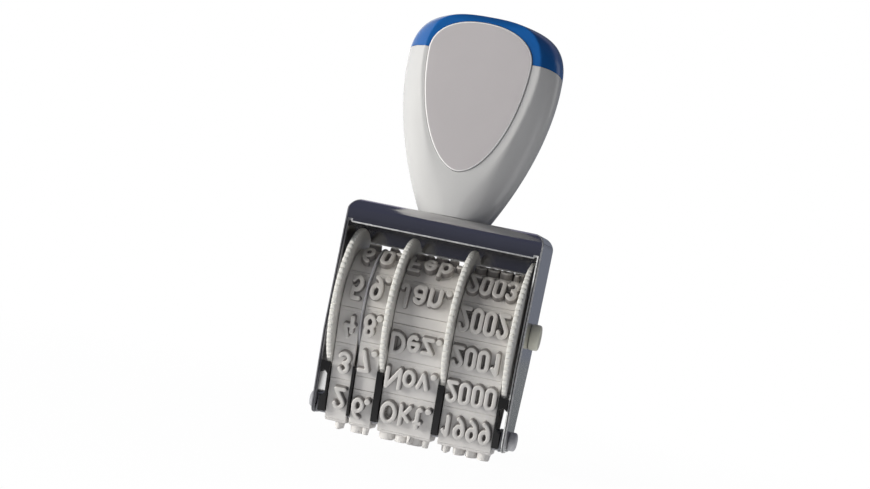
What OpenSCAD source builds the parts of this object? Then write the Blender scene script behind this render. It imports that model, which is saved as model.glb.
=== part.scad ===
// Hand band dater: four rubber type bands on thumb wheels in a steel bracket, with a paddle handle.
// Millimetres. X runs along the printed line, the front faces -Y, Z is up, type stands on Z = 0.

/* [Bracket] */
// outside width across the two arms
frame_width = 30.5; // [28:0.1:36]
// depth of the bracket top, front to back
frame_depth = 15; // [12.5:0.1:16]
// thickness of the bracket sheet
sheet = 0.6; // [0.5:0.05:0.9]
// free height between the wheel rims and the top plate
head_gap = 3.6; // [2.5:0.1:5]
// drop of the front apron from the top plate
front_drop = 3.8; // [2.5:0.1:4.2]
// drop of the back apron from the top plate
back_drop = 6.2; // [3:0.1:6.5]
// outside bend where the top turns down into an arm
arm_bend = 1.8; // [1.2:0.1:3]
// height of the sloping shoulder between the top and an apron
shoulder_tall = 1.5; // [1.2:0.1:2]
// depth of the sloping shoulder between the top and an apron
shoulder_deep = 1.8; // [1.4:0.1:2.2]
// outside bends at the two ends of a shoulder
apron_bend = 1.2; // [1:0.1:1.6]
// width of the relief notch where an apron meets an arm
seam = 0.35; // [0.2:0.05:0.6]
// half depth of an arm at its middle
arm_mid = 7; // [6:0.1:7.4]
// height of the arm's middle, where it starts to narrow
arm_mid_z = 15; // [12:0.5:20]
// half depth of an arm at its foot
arm_foot = 4.6; // [4.2:0.1:5.5]
// rounding of the arm foot
foot_round = 2; // [1:0.1:2.6]
// height of the arm foot above the printing face
foot_rise = 1.9; // [1.5:0.1:2.4]

/* [Bands] */
// height of the raised type
relief = 1.1; // [0.8:0.05:1.4]
// thickness of the band under the type
band_t = 0.9; // [0.7:0.05:1]
// radius of the band's outer face over the drum
loop_r = 8; // [7.6:0.1:8.4]
// half depth of the nose over the bands
nose_half = 2.9; // [2.7:0.05:3.4]
// outer rounding of the band at the nose corners
nose_round = 1; // [1:0.05:1.2]
// width of one day band
day_band = 3.35; // [3:0.05:3.8]
// width of the month band; the year band takes the rest
month_w = 8.4; // [7.5:0.05:9]
// distance between type cells along the band
pitch = 5.6; // [5.2:0.05:5.65]
// height of a character along the band
type_h = 4; // [3:0.1:4.4]
// room after the printing row of the tens band
tens_gap = 1.05; // [0.8:0.05:1.2]
// bare margin at each edge of a band
type_margin = 0.35; // [0.2:0.05:0.6]
// part of a character's share of the line that its slug fills
slug_fill = 0.82; // [0.6:0.01:0.9]

/* [Thumb wheels] */
// height of the axle above the printing face
axle_z = 20; // [19.5:0.1:21]
// height of the wheel rims over the band
rim_rise = 3.2; // [2.6:0.1:3.4]
// thickness of a wheel rim
rim_t = 0.8; // [0.7:0.05:1.1]
// extra play on the left of a wheel rim
rim_play = 0.15; // [0.05:0.05:0.3]
// chamfer on the rim edges
rim_edge = 0.15; // [0.1:0.05:0.3]
// radius of the axle
axle_r = 1.5; // [1.2:0.1:2]
// running clearance of a wheel on the axle
run_fit = 0.05; // [0.03:0.01:0.08]
// wall of a drum and of a hub
drum_wall = 1.2; // [0.8:0.1:1.6]
// clearance between a drum and its band
drum_gap = 0.25; // [0.15:0.05:0.4]
// side clearance between neighbours on the axle
side_gap = 0.1; // [0.06:0.01:0.14]
// thickness of the disc between the day bands
disc_t = 0.3; // [0.2:0.05:0.4]
// rise of that disc over the bands
disc_rise = 0.7; // [0.4:0.1:1]
// radius of the end cap on the axle
cap_r = 2; // [2:0.1:2.6]
// height of the end cap outside the arm
cap_h = 1.5; // [1:0.1:2]

/* [Nose] */
// thickness of the inner cheeks and of the sole
cheek = 0.35; // [0.25:0.05:0.4]
// height of the top of the cheeks
cheek_top = 4.9; // [4.8:0.05:5]
// half depth of a cheek
cheek_half = 3.6; // [3:0.1:3.9]
// height of the nose pin's centre
pin_z = 3.7; // [3.6:0.05:4]
// radius of the nose pin
pin_r = 0.8; // [0.6:0.05:0.9]
// radius of the pin's formed head
head_r = 1.45; // [1.2:0.05:1.6]
// height of the pin's formed head
head_h = 1.2; // [0.8:0.1:1.5]
// radius of the pin's clinched end
clinch_r = 1.2; // [1:0.05:1.4]
// height of the pin's clinched end
clinch_h = 1.2; // [0.3:0.05:1.5]
// height of the light slots at the sides of the nose block
slot_h = 4.15; // [3:0.05:4.2]
// height of the light slots' lower end
slot_low = 4.75; // [4.65:0.05:4.8]
// thickness of the web left beside a band at each light slot
slot_web = 0.25; // [0.2:0.05:0.4]

/* [Handle] */
// height of the handle above the bracket
handle_h = 31.5; // [27:0.1:38]
// greatest width of the handle
handle_w = 24.4; // [20:0.1:28]
// width of the handle at its foot
neck_w = 11.4; // [10:0.1:13]
// depth of the handle, front to back
handle_d = 10.1; // [9:0.1:12]
// height of the widest place over the handle foot
widest_z = 22.5; // [20:0.1:24]
// height of the coloured cap
cap_tall = 6.6; // [5:0.1:7]
// bare strip between the oval plate and the front crease
rim_strip = 0.9; // [0.7:0.05:1.3]
// bare strip above the oval plate
crown_strip = 1.4; // [1:0.1:2]
// height of the oval plate's lower end over the handle foot
plate_low = 6.9; // [6:0.1:9]
// height of the oval plate's widest place over the handle foot
plate_wide = 24.5; // [22:0.1:25]
// thickness of an oval plate
plate_t = 0.9; // [0.7:0.05:1.2]
// rise of an oval plate over the handle face
plate_rise = 0.25; // [0.1:0.05:0.4]
// groove around an oval plate
plate_gap = 0.2; // [0.1:0.05:0.3]
// radius of the handle screw's shank
screw_r = 2; // [1.5:0.1:2.2]
// length of the screw inside the handle
screw_in = 14; // [10:0.5:18]
// radius of the screw head
screw_head_r = 3.4; // [3:0.1:3.8]
// height of the screw head
screw_head_h = 1.3; // [1:0.1:1.4]
// thickness of the washer under the screw head
washer_t = 0.5; // [0.3:0.05:0.6]
// radius of the washer
washer_r = 4.2; // [3.9:0.1:4.6]

/* [Hidden] */
$fn = 72;
// small overlap that lets a cut pass through a face
eps = 0.02;
// reach of a cut that leaves the object
far = 60;
// clearance of still pieces that are fixed to each other
fixed_gap = 0.05;
// free space between a wheel rim and what stands near it
wheel_clear = 0.35;
// rise of the comb teeth over the middle of the block, low enough for blunt tips
tooth_rise = 1.8;
// segments of a drawn quarter turn
arc_n = 10;
// shape of the handle: belly below, dome above, flat front
belly = 1.85;
dome = 2.8;
flat_part = 0.75;
flat_loss = 0.48;
flat_bend = 1.84;
round_from = 0.08;
round_to = 0.3;
top_from = 0.95;
top_loss = 0.2;
last_ring = 0.992;
side_n = 5;
body_rings = 15;
cap_rings = 8;
egg_n = 64;
egg_top = 2.35;
egg_low = 1.7;
month_slugs = 3;
year_slugs = 4;
cells = 12;
digits = 10;
two = 2;
quarter = 90;
half_turn = 180;
full_turn = 360;

wheel_r = loop_r + rim_rise;
drum_r = loop_r - band_t - drum_gap;
bore_r = axle_r + run_fit;
inner_half = frame_width / two - sheet;
depth_half = frame_depth / two;
depth_in = depth_half - sheet;
head_room = screw_head_h + washer_t + wheel_clear + fixed_gap * two;
frame_top = axle_z + wheel_r + max(head_room, head_gap) + sheet;
wheel_at_apron = sqrt(max(0, pow(wheel_r, two) - pow(depth_in, two)));
apron_low = axle_z + wheel_at_apron + wheel_clear;
front_low = max(frame_top - front_drop, apron_low);
back_low = max(frame_top - back_drop, apron_low);

// stations along the axle, from the left cheek to the right one
x_in = inner_half - cheek - fixed_gap;
rim_1 = -x_in + side_gap + rim_play;
band_1 = rim_1 + rim_t + side_gap;
disc_x = band_1 + day_band + side_gap;
band_2 = disc_x + disc_t + side_gap;
rim_2 = band_2 + day_band + side_gap + rim_play;
band_3 = rim_2 + rim_t + side_gap;
rim_4 = x_in - side_gap - rim_t;
wide_room = rim_4 - band_3 - rim_t - side_gap * (two + 1) - rim_play * two;
year_w = wide_room - month_w;
rim_3 = band_3 + month_w + side_gap + rim_play;
band_4 = rim_3 + rim_t + side_gap;

// the closed path of a band: flat nose, corner, slanting run, drum
nose_y = nose_half - nose_round;
nose_z = relief + nose_round;
centre_d = norm([nose_y, axle_z - nose_z]);
slant = asin((loop_r - nose_round) / centre_d) - atan2(nose_y, axle_z - nose_z);
run_len = sqrt(pow(centre_d, two) - pow(loop_r - nose_round, two));
corner_len = nose_round * (quarter - slant) * PI / half_turn;
drum_len = loop_r * (quarter + slant) * PI / half_turn;
s_corner = nose_y;
s_run = s_corner + corner_len;
s_drum = s_run + run_len;
loop_half = s_drum + drum_len;
loop_len = loop_half * two;
splice = loop_len - cells * pitch;

sole_z = relief + band_t + fixed_gap;
sole_top = sole_z + cheek;
block_top = axle_z - wheel_r - wheel_clear - fixed_gap;

handle_z = frame_top + fixed_gap;
handle_half = handle_w / two;
neck_half = neck_w / two;
front_y = handle_d / two;
widest = widest_z / handle_h;
cap_from = 1 - cap_tall / handle_h;
flat_from = plate_wide / handle_h;
plate_mid = handle_z + plate_wide;
plate_top = handle_z + handle_h - crown_strip;
plate_foot = handle_z + plate_low;
plate_half = handle_half * flat_part - rim_strip;

steel = [0.78, 0.79, 0.82];
black = [0.1, 0.1, 0.11];
rubber = [0.72, 0.71, 0.69];
cream = [0.88, 0.87, 0.82];
grey = [0.8, 0.79, 0.77];
blue = [0.1, 0.34, 0.68];
brass = [0.75, 0.6, 0.3];

function turned(a) = [-sin(a), -cos(a)];

// outward direction of the band at path length s, as an angle from straight down
function band_angle(s) =
  s < s_corner ? 0 :
  s < s_run ? (s - s_corner) / nose_round * half_turn / PI :
  s < s_drum ? quarter - slant :
  quarter - slant + (s - s_drum) / loop_r * half_turn / PI;

// depth and height of the band's outer face at path length s, moved out by off
function band_point(s, off) =
  s < s_corner ? [-s, relief - off] :
  s < s_run ? [-nose_y, nose_z] + (nose_round + off) * turned(band_angle(s)) :
  s < s_drum ? [-nose_y, nose_z] + (nose_round + off) * turned(quarter - slant)
    + (s - s_run) * [-sin(slant), cos(slant)] :
  [0, axle_z] + (loop_r + off) * turned(band_angle(s));

// half depth of the slanting run at height z, moved out by off
function run_half(z, off) =
  let (p = band_point(s_run, off)) -p[0] + (z - p[1]) * tan(slant);

function half_loop(off) = concat(
  [for (i = [0 : arc_n]) band_point(s_corner + corner_len * i / arc_n * (1 - eps / far), off)],
  [for (i = [0 : arc_n * two]) band_point(s_drum + drum_len * i / (arc_n * two), off)]);

function mirrored(points) = [for (i = [len(points) - 1 : -1 : 0]) [-points[i][0], points[i][1]]];

function whole_loop(off) =
  let (h = half_loop(off), n = len(h), m = mirrored(h)) concat(h, [for (i = [1 : n - 1]) m[i]]);

// stretch a depth-height outline along the axle
module along_axle(x0, x1) {
  translate([x0, 0, 0])
    multmatrix([[0, 0, 1, 0], [1, 0, 0, 0], [0, 1, 0, 0]])
      linear_extrude(height = x1 - x0) children();
}

// stretch a width-height outline front to back
module through_depth(y0, y1) {
  translate([0, y1, 0]) rotate([quarter, 0, 0]) linear_extrude(height = y1 - y0) children();
}

module rod(x0, x1, r, z) {
  translate([x0, 0, z]) rotate([0, quarter, 0]) cylinder(h = x1 - x0, r = r);
}

function round_corner(c, r, from, to) =
  [for (i = [0 : arc_n]) let (a = from + (to - from) * i / arc_n) c + r * [cos(a), sin(a)]];

// arch seen from the front: straight sides, rounded shoulders
function arch(half, low, top, r) = concat(
  [[half, low]],
  round_corner([half - r, top - r], r, 0, quarter),
  round_corner([r - half, top - r], r, quarter, half_turn),
  [[-half, low]]);

function spun(v, a) = [v[0] * cos(a) - v[1] * sin(a), v[0] * sin(a) + v[1] * cos(a)];

// arc of radius r in the left-hand corner q between the points p and s
function fillet(p, q, s, r) =
  let (u = (q - p) / norm(q - p), v = (s - q) / norm(s - q),
    turn = acos(u * v), side = [-u[1], u[0]],
    c = q - u * r * tan(turn / two) + side * r)
  [for (i = [0 : arc_n]) c - spun(side, turn * i / arc_n) * r];

// top of the bracket seen from the side: two sloping shoulders, moved in by off
function shoulders(off) =
  let (slope = norm([shoulder_deep, shoulder_tall]), h = depth_half - off, t = frame_top - off,
    a = [h, t + off - shoulder_tall - off * (slope - shoulder_tall) / shoulder_deep],
    b = [h + off - shoulder_deep - off * (slope - shoulder_deep) / shoulder_tall, t],
    right = concat(fillet([h, 0], a, b, apron_bend - off), fillet(a, b, [0, t], apron_bend - off)))
  concat(right, mirrored(right));

// arm seen from the side: deep down to its middle, narrow at a rounded foot
function arm_side() =
  let (lean = atan2(arm_mid - arm_foot, arm_mid_z - foot_rise)) concat(
  [[arm_mid, arm_mid_z], [depth_half, front_low]],
  shoulders(0),
  [[-depth_half, front_low], [-arm_mid, arm_mid_z]],
  round_corner([foot_round - arm_foot, foot_rise + foot_round], foot_round,
    half_turn + lean, half_turn + quarter),
  round_corner([arm_foot - foot_round, foot_rise + foot_round], foot_round,
    half_turn + quarter, full_turn - lean));

module apron_opening(y0, y1, low) {
  translate([-inner_half, y0, -far]) cube([inner_half * two, y1 - y0, low + far]);
}

module seam_notch(x, y0, y1, low) {
  translate([x - seam / two, y0, -far]) cube([seam, y1 - y0, low + seam + far]);
}

module frame() {
  color(steel) difference() {
    intersection() {
      through_depth(-depth_half, depth_half)
        polygon(arch(frame_width / two, 0, frame_top, arm_bend));
      along_axle(-frame_width / two, frame_width / two) polygon(arm_side());
    }
    intersection() {
      through_depth(-depth_in, depth_in)
        polygon(arch(inner_half, -far, frame_top - sheet, arm_bend - sheet));
      along_axle(-inner_half, inner_half)
        polygon(concat([[depth_in, -far]], shoulders(sheet), [[-depth_in, -far]]));
    }
    apron_opening(-depth_half - far, -depth_in + eps, front_low);
    apron_opening(depth_in - eps, depth_half + far, back_low);
    for (x = [-inner_half + seam / two, inner_half - seam / two]) {
      seam_notch(x, -depth_half - far, -depth_in + eps, front_low);
      seam_notch(x, depth_in - eps, depth_half + far, back_low);
    }
    rod(-far, far, axle_r + fixed_gap, axle_z);
    rod(-far, far, pin_r + fixed_gap, pin_z);
    translate([0, 0, frame_top - sheet * two]) cylinder(h = sheet * two + eps, r = screw_r + fixed_gap);
  }
}

// sole under the block with a cheek turned up inside each arm
module nose_bracket() {
  sole_half = run_half(sole_top, -band_t) - fixed_gap * two;
  x_out = inner_half - fixed_gap;
  color(steel) difference() {
    union() {
      translate([-x_out, -sole_half, sole_z]) cube([x_out * two, sole_half * two, cheek]);
      for (x = [-x_out, x_out - cheek])
        translate([x, -cheek_half, sole_z]) cube([cheek, cheek_half * two, cheek_top - sole_z]);
    }
    rod(-far, far, pin_r + fixed_gap, pin_z);
  }
}

// wedge that fills the nose between two heights, out to the band path moved by off
module wedge(x0, x1, low, top, off) {
  along_axle(x0, x1) polygon([
    [-run_half(low, off), low], [run_half(low, off), low],
    [run_half(top, off), top], [-run_half(top, off), top]]);
}

// comb tooth that keeps two bands apart, flush with the type, hollowed for the wheel rim above it
module comb_tooth(x0, x1, low) {
  difference() {
    wedge(x0, x1, low, block_top + tooth_rise, relief - fixed_gap * two);
    rod(x0 - eps, x1 + eps, wheel_r + wheel_clear, axle_z);
  }
}

module light_slot(x0, x1) {
  low = slot_low;
  side = (x1 - x0) / two;
  through_depth(-far, far) polygon([
    [x0, low + side], [x0 + side, low], [x1, low + side],
    [x1, low + slot_h - side], [x0 + side, low + slot_h], [x0, low + slot_h - side]]);
}

module nose_block() {
  end = x_in - fixed_gap;
  wide_end = inner_half - fixed_gap;
  left = band_1 - side_gap;
  right = band_4 + year_w + side_gap;
  low = sole_top + fixed_gap;
  color(black) difference() {
    union() {
      wedge(-end, end, low, block_top, -band_t - fixed_gap * two);
      comb_tooth(-wide_end, left, low);
      comb_tooth(disc_x, disc_x + disc_t, low);
      comb_tooth(rim_2 - rim_play, rim_2 + rim_t, low);
      comb_tooth(rim_3 - rim_play, rim_3 + rim_t, low);
      comb_tooth(right, wide_end, low);
    }
    for (x = [-wide_end - eps, end])
      translate([x, -far, 0]) cube([wide_end - end + eps, far * two, slot_low + slot_h / two]);
    rod(-far, far, pin_r + fixed_gap, pin_z);
    light_slot(-wide_end - eps, left - slot_web);
    light_slot(right + slot_web, wide_end + eps);
  }
}

module nose_pin() {
  out = frame_width / two + fixed_gap;
  color(steel) union() {
    rod(-out - eps, out + eps, pin_r, pin_z);
    rod(out, out + head_h, head_r, pin_z);
    rod(-out - clinch_h, -out, clinch_r, pin_z);
  }
}

module wheel_axle() {
  color(steel) rod(-frame_width / two, frame_width / two + cap_h / two, axle_r, axle_z);
}

module axle_cap() {
  out = frame_width / two + fixed_gap;
  color(cream) difference() {
    rod(out, out + cap_h, cap_r, axle_z);
    rod(out - eps, frame_width / two + cap_h / two + fixed_gap, axle_r + fixed_gap, axle_z);
  }
}

// half width of the handle at a part u of its height
function handle_side(u) =
  u < widest ? handle_half - (handle_half - neck_half) * pow((widest - u) / widest, belly) :
  handle_half * pow(1 - pow((u - widest) / (1 - widest), dome), 1 / dome);

function flat_side(u) = handle_side(u) *
  (u < flat_from ? flat_part - flat_loss * pow(1 - u / flat_from, flat_bend) : flat_part);

function face_y(u) =
  u < top_from ? front_y : front_y * (1 - top_loss * pow((u - top_from) / (1 - top_from), two));

function eased(t) = t < 0 ? 0 : t > 1 ? 1 : t * t * (two + 1 - two * t);

// one side of a section from the front crease to the middle of the side
function section_side(u, t) =
  let (w = handle_side(u), a = flat_side(u), d = face_y(u),
    lens = [a + (w - a) * (1 - pow(1 - t, two)), d * (1 - t)],
    start = asin(a / w), turn = start + (quarter - start) * t,
    oval = [w * sin(turn), d * cos(turn)],
    f = eased((u - round_from) / (round_to - round_from)))
  lens * f + oval * (1 - f);

function section_ring(u) =
  let (q = [for (j = [0 : side_n]) section_side(u, j / side_n)], z = handle_z + handle_h * u) concat(
  [for (j = [0 : side_n]) [q[j][0], -q[j][1], z]],
  [for (j = [side_n - 1 : -1 : 0]) [q[j][0], q[j][1], z]],
  [for (j = [0 : side_n]) [-q[j][0], q[j][1], z]],
  [for (j = [side_n - 1 : -1 : 0]) [-q[j][0], -q[j][1], z]]);

// solid skin through a list of sections
module skin(parts) {
  rings = [for (u = parts) section_ring(u)];
  n = len(rings[0]);
  last = len(rings) - 1;
  points = [for (r = rings, p = r) p];
  faces = concat(
    [[for (k = [0 : n - 1]) k]],
    [for (i = [0 : last - 1], k = [0 : n - 1])
      [i * n + k, (i + 1) * n + k, (i + 1) * n + (k + 1) % n]],
    [for (i = [0 : last - 1], k = [0 : n - 1])
      [i * n + k, (i + 1) * n + (k + 1) % n, i * n + (k + 1) % n]],
    [[for (k = [n - 1 : -1 : 0]) last * n + k]]);
  polyhedron(points = points, faces = faces, convexity = side_n);
}

function egg_reach(v, n) = sign(v) * pow(abs(v), two / n);

// outline of the oval plate, broad end up, grown by g
function egg(g) = [for (i = [0 : egg_n - 1])
  let (a = full_turn * i / egg_n, n = sin(a) > 0 ? egg_top : egg_low,
    h = sin(a) > 0 ? plate_top - plate_mid : plate_mid - plate_foot)
  [(plate_half + g) * egg_reach(cos(a), n), plate_mid + (h + g) * egg_reach(sin(a), n)]];

module plate_seats() {
  in = front_y + plate_rise - plate_t - fixed_gap;
  through_depth(-far, -in) polygon(egg(plate_gap));
  through_depth(in, far) polygon(egg(plate_gap));
}

module handle_body() {
  color(grey) difference() {
    skin([for (i = [0 : body_rings]) cap_from * i / body_rings]);
    plate_seats();
    translate([0, 0, handle_z - eps])
      cylinder(h = screw_in + fixed_gap + eps, r = screw_r + drum_wall + fixed_gap);
  }
}

module handle_cap() {
  start = cap_from + fixed_gap / handle_h;
  span = last_ring - start;
  color(blue) difference() {
    skin([for (i = [0 : cap_rings]) start + span * sin(quarter * i / cap_rings)]);
    plate_seats();
  }
}

module oval_plate(y0, y1) {
  color(grey) through_depth(y0, y1) polygon(egg(0));
}

module front_plate() {
  oval_plate(-front_y - plate_rise, -front_y - plate_rise + plate_t);
}

module back_plate() {
  oval_plate(front_y + plate_rise - plate_t, front_y + plate_rise);
}

// sleeve in the handle foot that the screw holds in
module thread_insert() {
  color(brass) translate([0, 0, handle_z]) difference() {
    cylinder(h = screw_in, r = screw_r + drum_wall);
    translate([0, 0, -eps]) cylinder(h = screw_in + eps * two, r = screw_r + fixed_gap);
  }
}

module handle_screw() {
  low = frame_top - sheet - washer_t - fixed_gap * two;
  color(steel) union() {
    translate([0, 0, low - screw_head_h]) cylinder(h = screw_head_h, r = screw_head_r);
    translate([0, 0, low - eps]) cylinder(h = handle_z + screw_in - low, r = screw_r);
  }
}

module screw_washer() {
  color(steel) translate([0, 0, frame_top - sheet - washer_t - fixed_gap]) difference() {
    cylinder(h = washer_t, r = washer_r);
    translate([0, 0, -eps]) cylinder(h = washer_t + eps * two, r = screw_r + fixed_gap);
  }
}

// thumb wheel: rim on one side, drum and hub under its band on the other
module thumb_wheel(x, reach, way) {
  far_end = rim_t + reach;
  color(cream) translate([x, 0, axle_z]) rotate([0, quarter * way, 0]) rotate_extrude()
    polygon([[bore_r, 0], [wheel_r - rim_edge, 0], [wheel_r, rim_edge], [wheel_r, rim_t - rim_edge],
      [wheel_r - rim_edge, rim_t], [drum_r, rim_t], [drum_r, far_end], [drum_r - drum_wall, far_end],
      [drum_r - drum_wall, rim_t], [bore_r + drum_wall, rim_t], [bore_r + drum_wall, far_end],
      [bore_r, far_end]]);
}

module day_tens_wheel() {
  thumb_wheel(rim_1, day_band, 1);
}

module day_units_wheel() {
  thumb_wheel(rim_2 + rim_t, day_band, -1);
}

module month_wheel() {
  thumb_wheel(rim_3 + rim_t, month_w, -1);
}

module year_wheel() {
  thumb_wheel(rim_4 + rim_t, year_w, -1);
}

module divider_disc() {
  color(steel) difference() {
    rod(disc_x, disc_x + disc_t, loop_r + disc_rise, axle_z);
    rod(disc_x - eps, disc_x + disc_t + eps, bore_r, axle_z);
  }
}

// raised block of one character at path length s
module slug(x0, x1, s) {
  back = s > loop_half;
  p = band_point(back ? loop_len - s : s, 0);
  a = band_angle(back ? loop_len - s : s);
  translate([0, back ? -p[0] : p[0], p[1]]) rotate([back ? a : -a, 0, 0])
    translate([x0, -type_h / two, -relief]) cube([x1 - x0, type_h, relief + band_t / two]);
}

// closed band with a row of slugs in each cell; a gap follows cell number gap_after
module type_band(x, w, slugs, count, gap_after, gap = splice) {
  share = (w - type_margin * two) / slugs;
  color(rubber) union() {
    along_axle(x, x + w) difference() {
      polygon(whole_loop(0));
      polygon(whole_loop(-band_t));
    }
    for (c = [0 : count - 1], i = [0 : slugs - 1]) {
      middle = x + type_margin + share * (i + 1 / two);
      slug(middle - share * slug_fill / two, middle + share * slug_fill / two,
        c * pitch + (c > gap_after ? gap : 0));
    }
  }
}

module day_tens_band() {
  type_band(band_1, day_band, 1, digits, 0, tens_gap);
}

module day_units_band() {
  type_band(band_2, day_band, 1, digits, 1);
}

module month_band() {
  type_band(band_3, month_w, month_slugs, cells, month_slugs);
}

module year_band() {
  type_band(band_4, year_w, year_slugs, cells, cells);
}

frame();
nose_bracket();
nose_block();
nose_pin();
wheel_axle();
axle_cap();
handle_body();
handle_cap();
front_plate();
back_plate();
handle_screw();
screw_washer();
thread_insert();
day_tens_band();
day_units_band();
month_band();
year_band();
day_tens_wheel();
day_units_wheel();
month_wheel();
year_wheel();
divider_disc();
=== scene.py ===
# %% [markdown]
# # A hand date stamp
# Four rubber bands with raised dates run over thumb wheels inside a bright
# steel bracket, under a paddle handle of moulded plastic. The solids come from
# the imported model. This lesson dresses them: each step says what a piece is on
# the real stamp, how it could be made, and why it is made this way.

import bmesh
import bpy
import numpy as np
from mathutils import Matrix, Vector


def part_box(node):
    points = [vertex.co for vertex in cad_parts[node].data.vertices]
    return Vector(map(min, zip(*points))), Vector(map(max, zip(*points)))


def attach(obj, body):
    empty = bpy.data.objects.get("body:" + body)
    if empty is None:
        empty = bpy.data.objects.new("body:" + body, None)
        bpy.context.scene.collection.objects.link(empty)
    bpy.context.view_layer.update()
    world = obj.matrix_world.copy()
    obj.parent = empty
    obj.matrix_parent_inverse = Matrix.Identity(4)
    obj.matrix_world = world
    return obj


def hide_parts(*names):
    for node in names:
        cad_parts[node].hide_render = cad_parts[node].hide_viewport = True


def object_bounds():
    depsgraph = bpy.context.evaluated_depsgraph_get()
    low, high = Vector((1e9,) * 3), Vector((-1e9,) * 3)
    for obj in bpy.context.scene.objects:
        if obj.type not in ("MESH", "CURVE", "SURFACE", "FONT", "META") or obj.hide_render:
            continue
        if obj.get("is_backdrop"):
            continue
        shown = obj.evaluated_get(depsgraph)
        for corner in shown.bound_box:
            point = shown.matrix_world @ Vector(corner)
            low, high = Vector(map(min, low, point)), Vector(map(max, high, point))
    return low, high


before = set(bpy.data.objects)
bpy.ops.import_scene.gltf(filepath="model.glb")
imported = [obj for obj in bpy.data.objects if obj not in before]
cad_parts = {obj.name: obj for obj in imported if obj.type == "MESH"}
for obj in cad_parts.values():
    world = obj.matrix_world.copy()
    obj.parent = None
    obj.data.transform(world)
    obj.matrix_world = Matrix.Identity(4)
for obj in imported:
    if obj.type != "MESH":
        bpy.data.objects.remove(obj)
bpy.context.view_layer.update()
MM = 0.001


def box_mm(node):
    """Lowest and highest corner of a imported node, in millimetres."""
    low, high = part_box(node)
    return np.array(low) / MM, np.array(high) / MM


print("packed nodes:", len(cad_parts))

# %% [markdown]
# ## The camera
# The photograph is taken from about the height of the bracket and a little from
# the right, with the whole stamp leaning over in the picture. One could lean the
# stamp, but its place belongs to the solids, so the camera rolls instead.

# %% Camera
YAW, RISE, ROLL = 9.5, -1.06, 11.69
REACH = 300.0
TARGET = np.array([-2.14, 0.0, 30.91])
FOCAL_PX, IMAGE_W, SENSOR = 1940.4, 870, 36.0


def add_object(name, data):
    """Object in the scene that holds a lens, a mesh or a lamp."""
    made = bpy.data.objects.new(name, data)
    bpy.context.scene.collection.objects.link(made)
    return made


def axes_matrix(right, up, back, place):
    """Matrix of an object with these three axes, at a place in millimetres."""
    m = np.eye(4)
    m[:3] = np.stack([right, up, back, np.array(place) * MM], 1)
    return Matrix(m)


def camera_matrix(yaw, rise, roll):
    """Camera that looks along +Y, turned by yaw to the left, tipped down by
    rise, then rolled about its own axis; it stands REACH from TARGET."""
    a, b, c = np.radians([yaw, rise, roll])
    ahead = np.array([-np.sin(a) * np.cos(b), np.cos(a) * np.cos(b), -np.sin(b)])
    right = np.array([np.cos(a), np.sin(a), 0.0])
    up = np.cross(right, ahead)
    return axes_matrix(np.cos(c) * right + np.sin(c) * up, np.cos(c) * up - np.sin(c) * right,
                       -ahead, TARGET - ahead * REACH)


lens = bpy.data.cameras.new("photo_lens")
lens.sensor_fit, lens.sensor_width = "HORIZONTAL", SENSOR
lens.lens = FOCAL_PX / IMAGE_W * SENSOR
lens.clip_start, lens.clip_end = 0.01, 20
camera = add_object("photo_camera", lens)
camera.matrix_world = camera_matrix(YAW, RISE, ROLL)
bpy.context.scene.camera = camera
print("lens: %.1f mm" % lens.lens)

# %% [markdown]
# ## Meshes from arrays
# Every new piece is a grid of points worked out by numpy. Blender could build
# shapes with its own tools, but a formula on a grid can be read, measured and
# changed. The helpers below join grid neighbours into faces, use the sign of
# the enclosed volume to turn the faces outward, and close the ends of a skin.

# %% Grid faces, meshes and pieces
def grid_faces(rows, cols, close_rows=False, close_cols=False):
    """Corner numbers of the four-sided faces between neighbours on a grid."""
    i = np.arange(rows if close_rows else rows - 1)[:, None]
    j = np.arange(cols if close_cols else cols - 1)[None, :]
    k, m = (i + 1) % rows, (j + 1) % cols
    corners = [i * cols + j, i * cols + m, k * cols + m, k * cols + j]
    return np.stack(np.broadcast_arrays(*corners), -1).reshape(-1, 4)


def fan_faces(first, count, middle):
    """Three-sided faces from a ring of points to one middle point."""
    i = np.arange(count)
    return np.stack([np.full(count, middle), first + i, first + (i + 1) % count], -1)


def array_mesh(points, fours, threes=np.zeros((0, 3), int)):
    """Mesh of millimetre points; the faces turn outward together."""
    halves = np.concatenate([fours[:, [0, 1, 2]], fours[:, [0, 2, 3]], threes])
    a, b, c = (points[halves[:, n]] for n in range(3))
    if np.einsum("ij,ij->", a, np.cross(b, c)) < 0:
        fours, threes = fours[:, ::-1], threes[:, ::-1]
    mesh = bpy.data.meshes.new("grid")
    mesh.vertices.add(len(points))
    mesh.vertices.foreach_set("co", (points * MM).astype(np.float32).ravel())
    corners = np.concatenate([fours.ravel(), threes.ravel()]).astype(np.int32)
    mesh.loops.add(len(corners))
    mesh.loops.foreach_set("vertex_index", corners)
    starts = np.concatenate([np.arange(len(fours)) * 4,
                             len(fours) * 4 + np.arange(len(threes)) * 3])
    mesh.polygons.add(len(starts))
    mesh.polygons.foreach_set("loop_start", starts.astype(np.int32))
    mesh.update(calc_edges=True)
    mesh.validate()
    return mesh


def closed_loft(rings, middles=None):
    """Skin over stacked rings, closed at each end with a fan to a middle point:
    the mean of the end ring, unless the two middles are given."""
    n, m = rings.shape[:2]
    if middles is None:
        middles = rings[[0, -1]].mean(1)
    points = np.concatenate([rings.reshape(-1, 3), middles])
    threes = np.concatenate([fan_faces(0, m, n * m)[:, ::-1],
                             fan_faces((n - 1) * m, m, n * m + 1)])
    return array_mesh(points, grid_faces(n, m, close_cols=True), threes)


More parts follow.
